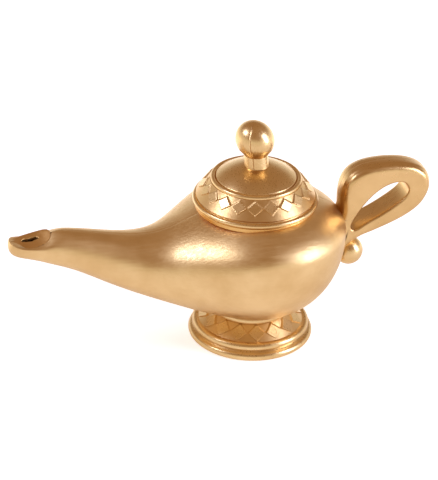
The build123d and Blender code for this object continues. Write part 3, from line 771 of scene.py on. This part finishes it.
# Lid skirt
# The plastic ring glued inside the lid that centres it in the collar. It is hidden
# until the lid is lifted.
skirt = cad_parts["lid_skirt"]
skirt.data.materials.clear()
skirt.data.materials.append(gold_paint("thin_gold_paint_skirt", "#D6AC6B", "#C3975A",
                                       roughness=0.42))

# Lid cap
# The lid's shell, one plastic moulding: a rim bead, a groove, a band of raised
# diamonds, a second bead and a low dome. Paint lies sandy in the band's recesses.
lid_columns = 640
lid_diamonds = 20
lid_turn_degrees = 2.1
lid_span_shares = (0.27, 0.98)
lid_seat = 76.9
lid_rim = (30.98, 79.4)
lid_rim_round = 1.4
lid_groove = (29.98, 80.9)
lid_band_low = (30.68, 81.8)
lid_band_top = (23.68, 90.4)
dome_bead = (22.18, 90.9)
dome_bead_round = 1.3
dome_edge = (20.58, 92.2)
dome_top = 99.1
lid_socket = 25.28
lid_rib = 27.48
rim_inside = 28.98
channel_top = 79.1
socket_top = 80.58
lid_wall = 1.8
nick_degrees = -110.0
nick_depth = 0.2
nick_width = 0.45
groove_round = 0.25
knob_foot_radius = 6.4
knob_hole = 4.5
knob_clearance = 0.3
# The radius of the round that passes through the dome's top and edge
dome_rise = dome_top - dome_edge[1]
dome_round = (dome_edge[0] ** 2 + dome_rise ** 2) / (2 * dome_rise)


def dome_line(start, end, drop, count):
    """Points on the dome's round between two radii: the top less the circle's sag."""
    radius = np.linspace(start, end, count)
    sag = dome_round - np.sqrt(dome_round ** 2 - radius ** 2)
    return np.stack([radius, dome_top - sag - drop], axis=-1)


outside_dome = dome_line(knob_foot_radius + knob_clearance, dome_edge[0], 0, 18)
inside_dome = dome_line(dome_edge[0] - lid_wall / 2, knob_hole, lid_wall, 11)
lid_profile = profile_of(
    (knob_hole, outside_dome[0, 1], 0),
    outside_dome[:-1],
    (dome_edge[0], dome_edge[1], 0),
    arc(dome_bead, dome_bead_round, 165, -20, 20),
    band_line(lid_band_low, lid_band_top, lid_span_shares)[::-1],
    (lid_groove[0], lid_groove[1], groove_round),
    arc(lid_rim, lid_rim_round, 125, -85, 22),
    (rim_inside, lid_rim[1] - lid_rim_round, 0),
    (rim_inside, channel_top, 0),
    (lid_rib, channel_top, 0),
    (lid_rib, lid_seat, 0),
    (lid_socket, lid_seat, 0),
    (lid_socket, socket_top, 0),
    (lid_socket - lid_wall / 2, socket_top, 0),
    inside_dome,
)
turn, reach, diagonal, recess = diamond_relief(
    lid_profile, lid_band_low, lid_band_top, lid_diamonds, lid_columns, lid_turn_degrees,
    lid_span_shares)
from_nick = (turn - math.radians(nick_degrees)) * lid_rim[0]
on_rim = (lid_profile[:, 1] < lid_groove[1]) & (lid_profile[:, 0] > lid_rim[0])
nick = nick_depth * np.exp(-(from_nick / nick_width) ** 2)
reach = reach - on_rim[:, None] * nick[None, :]
lid = grid_piece("lid_cap", turned_places(lid_profile, turn, reach), recess, diagonal)
lid.data.materials.append(gold_paint("satin_gold_paint_lid", bright_gold, deep_gold,
                                     recessed=True))
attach(lid, "lid")
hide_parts("lid_cap")

# Knob
# An onion ball on a short neck, moulded in two plastic halves that meet a little out
# of step, so a stepped seam runs up the neck and over the ball. It leans slightly.
knob_middle = 112.8
knob_radius = 10.0
ball_start_drop = 4.6
neck = (6.1, knob_middle - 8.0)
# From the neck's waist to the end of its straight side, to the waist's lower edge and
# to the cone under the ball, across and up
neck_steps = [(0.1, -0.7), (0, -0.2), (0.25, 0.15)]
knob_base = 98.44
knob_base_edge = (-0.1, 0.5)
plug = (4.4, 94.84)
seam_turn_degrees = -120.0
seam_step = 0.12
seam_depth = 0.42
seam_width = 0.26
seam_fade_radius = 3.0
seam_end_radius = 1.0
# Degrees from the seam at which extra columns draw its step
seam_columns = np.array([0.4, 0.8, 1.25])
lean_degrees = 5.3
lean_way_degrees = 164.5
ball_start_degrees = -math.degrees(math.asin(ball_start_drop / knob_radius))
knob_line = np.concatenate([
    [(0, plug[1]), (plug[0], plug[1]), (plug[0], knob_base), (knob_foot_radius, knob_base),
     (knob_foot_radius + knob_base_edge[0], knob_base + knob_base_edge[1])],
    np.array(neck) + np.array(neck_steps),
    arc((0, knob_middle), knob_radius, ball_start_degrees, 90, 46),
])
for name, start, step_out in (("knob_right_half", seam_turn_degrees, -seam_step),
                              ("knob_left_half", seam_turn_degrees + 180, seam_step)):
    sweep = np.linspace(0, 180, 121)
    sweep = np.sort(np.concatenate([sweep, seam_columns, 180 - seam_columns]))
    turn = np.radians(start + sweep)
    from_edge = np.minimum(sweep, 180 - sweep) * math.radians(1) * knob_radius
    reach = (step_out - seam_depth * np.exp(-(from_edge / seam_width) ** 2))[None, :]
    radius = knob_line[:, :1]
    reach = reach * (radius > seam_end_radius) * np.clip(radius / seam_fade_radius, 0, 1)
    places = turned_places(knob_line, turn, reach)
    lean = np.maximum(places[..., 2:] - knob_base, 0) * math.tan(math.radians(lean_degrees))
    places[..., :2] += lean * np.array([math.cos(math.radians(lean_way_degrees)),
                                        math.sin(math.radians(lean_way_degrees))])
    half = grid_piece(name, places, closed=(False, True))
    half.data.materials.append(gold_paint("satin_gold_paint_" + name, bright_gold, deep_gold))
    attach(half, "lid")
    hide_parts(name)

# Floor
# White paper that the lamp stands on. The camera sees it evenly white. The gold mirrors
# it with a painted pool of light, dimmer in front of the lamp and brighter at its back, as if a
# lamp lit the paper there.
paper_white = "#EDEDED"
floor_reach = 4.0
floor_drop = 0.2 * mm
seen_glow = 0.65
# The paper's glow in the gold's mirror, a painted pool of light: its level in front of the lamp,
# its level at the back, and the depths over which it rises
painted_light_front, painted_light_back = 0.38, 1.2
painted_light_rise_start, painted_light_rise_end = 0.05, 0.14
floor_mesh = bpy.data.meshes.new("floor")
floor_corners = np.array([(-1, -1, 0), (1, -1, 0), (1, 1, 0), (-1, 1, 0)]) * floor_reach
floor_mesh.from_pydata((floor_corners - np.array([0, 0, floor_drop])).tolist(), [],
                       [(0, 1, 2, 3)])
floor = bpy.data.objects.new("floor", floor_mesh)
bpy.context.scene.collection.objects.link(floor)
paper = bpy.data.materials.new("paper_floor_painted_light")
paper.use_nodes = True
tree = paper.node_tree
tree.nodes.clear()
seen = add_node(tree, "ShaderNodeLightPath")
mirrored = add_node(tree, "ShaderNodeMath", {0: seen.outputs["Is Glossy Ray"],
                                             1: seen.outputs["Is Transmission Ray"]},
                    operation="MAXIMUM")
# Painted pool of light: the glow that mirror rays see rises from the front of the lamp to its
# back
spot = add_node(tree, "ShaderNodeNewGeometry").outputs["Position"]
painted_light_pool = add_node(tree, "ShaderNodeSeparateXYZ", {"Vector": spot}).outputs["Y"]
painted_light_pool = add_node(tree, "ShaderNodeMapRange",
                  {"Value": painted_light_pool, "From Min": painted_light_rise_start, "From Max": painted_light_rise_end,
                   "To Min": painted_light_front, "To Max": painted_light_back},
                  interpolation_type="SMOOTHSTEP").outputs["Result"]
mirrored = add_node(tree, "ShaderNodeMath", {0: mirrored.outputs["Value"], 1: painted_light_pool},
                    operation="MULTIPLY")
glow = add_node(tree, "ShaderNodeMath", {0: seen.outputs["Is Camera Ray"], 1: seen_glow,
                                         2: mirrored.outputs["Value"]},
                operation="MULTIPLY_ADD")
light = add_node(tree, "ShaderNodeEmission", {"Color": (1, 1, 1, 1),
                                              "Strength": glow.outputs["Value"]})
matt = add_node(tree, "ShaderNodeBsdfDiffuse", {"Color": linear(paper_white)})
both = add_node(tree, "ShaderNodeAddShader", {0: light.outputs[0], 1: matt.outputs[0]})
add_node(tree, "ShaderNodeOutputMaterial", {"Surface": both.outputs[0]})
floor_mesh.materials.append(paper)

# Studio light
# A white room whose upper part is brown and darker, with a small softbox high on the
# left and a larger one low in front on the right. Both are cooler than the room.
ceiling_brown = "#AA8A6C"
ceiling_start, ceiling_end = 0.12, 0.42
softbox_colour = (0.86, 1.0, 1.45)
softbox_distance = 1.2
softbox_aim = (0, 0, 0.06)
world = bpy.data.worlds.new("studio")
world.use_nodes = True
bpy.context.scene.world = world
tree = world.node_tree
sky = tree.nodes["Background"]
way = add_node(tree, "ShaderNodeTexCoord").outputs["Generated"]
up = add_node(tree, "ShaderNodeSeparateXYZ", {"Vector": way}).outputs["Z"]
high = add_node(tree, "ShaderNodeMapRange",
                {"Value": up, "From Min": ceiling_start, "From Max": ceiling_end},
                interpolation_type="SMOOTHSTEP").outputs["Result"]
colour = add_node(tree, "ShaderNodeMix", {0: high, 6: (1, 1, 1, 1), 7: linear(ceiling_brown)},
                  data_type="RGBA").outputs[2]
tree.links.new(colour, sky.inputs["Color"])


def softbox(name, azimuth_degrees, elevation_degrees, size, power):
    """A flat lamp at a distance from the bowl, turned to face it: it stands out along
    the cosine and sine of its azimuth, tilted up by its elevation."""
    lamp = bpy.data.lights.new(name, "AREA")
    lamp.shape = "RECTANGLE"
    lamp.size, lamp.size_y = size
    lamp.energy = power
    lamp.color = softbox_colour
    box = bpy.data.objects.new(name, lamp)
    bpy.context.scene.collection.objects.link(box)
    a, e = math.radians(azimuth_degrees), math.radians(elevation_degrees)
    out = Vector((math.cos(a) * math.cos(e), math.sin(a) * math.cos(e), math.sin(e)))
    box.matrix_world = (Matrix.Translation(Vector(softbox_aim) + out * softbox_distance)
                        @ out.to_track_quat("Z", "Y").to_matrix().to_4x4())


softbox("softbox_left", -185, 43, (0.42, 0.28), 4.2)
softbox("softbox_right", -30, 21, (0.42, 0.84), 8.0)

# Camera
# The photograph's own view, found by fitting the circles of the foot and the lid: it
# looks down on the lamp from the front, a little from the left.
photo_size = (438, 480)
focal_pixels = 3000
foot_middle_pixel = (249.6, 329.5)
camera_distance = 1.579
view_turn, view_tilt, view_roll = (math.radians(a) for a in (-15.5, 29.5, 2.1))
right = Vector((math.cos(view_turn), math.sin(view_turn), 0))
ahead = Vector((-math.sin(view_turn) * math.cos(view_tilt),
                math.cos(view_turn) * math.cos(view_tilt), -math.sin(view_tilt)))
above = right.cross(ahead)
offset = (foot_middle_pixel[0] - photo_size[0] / 2, foot_middle_pixel[1] - photo_size[1] / 2)
c, s = math.cos(view_roll), math.sin(view_roll)
across = (c * offset[0] + s * offset[1]) * camera_distance / focal_pixels
down = (c * offset[1] - s * offset[0]) * camera_distance / focal_pixels
camera = bpy.data.objects.new("camera", bpy.data.cameras.new("camera"))
bpy.context.scene.collection.objects.link(camera)
camera.data.sensor_width = 36
camera.data.lens = focal_pixels * camera.data.sensor_width / max(photo_size)
camera_right = c * right + s * above
camera_up = c * above - s * right
place = down * above - across * right - camera_distance * ahead
camera.matrix_world = Matrix.Translation(place) @ Matrix(
    (camera_right, camera_up, -ahead)).transposed().to_4x4()
bpy.context.scene.camera = camera
bpy.context.scene.view_settings.view_transform = "Standard"
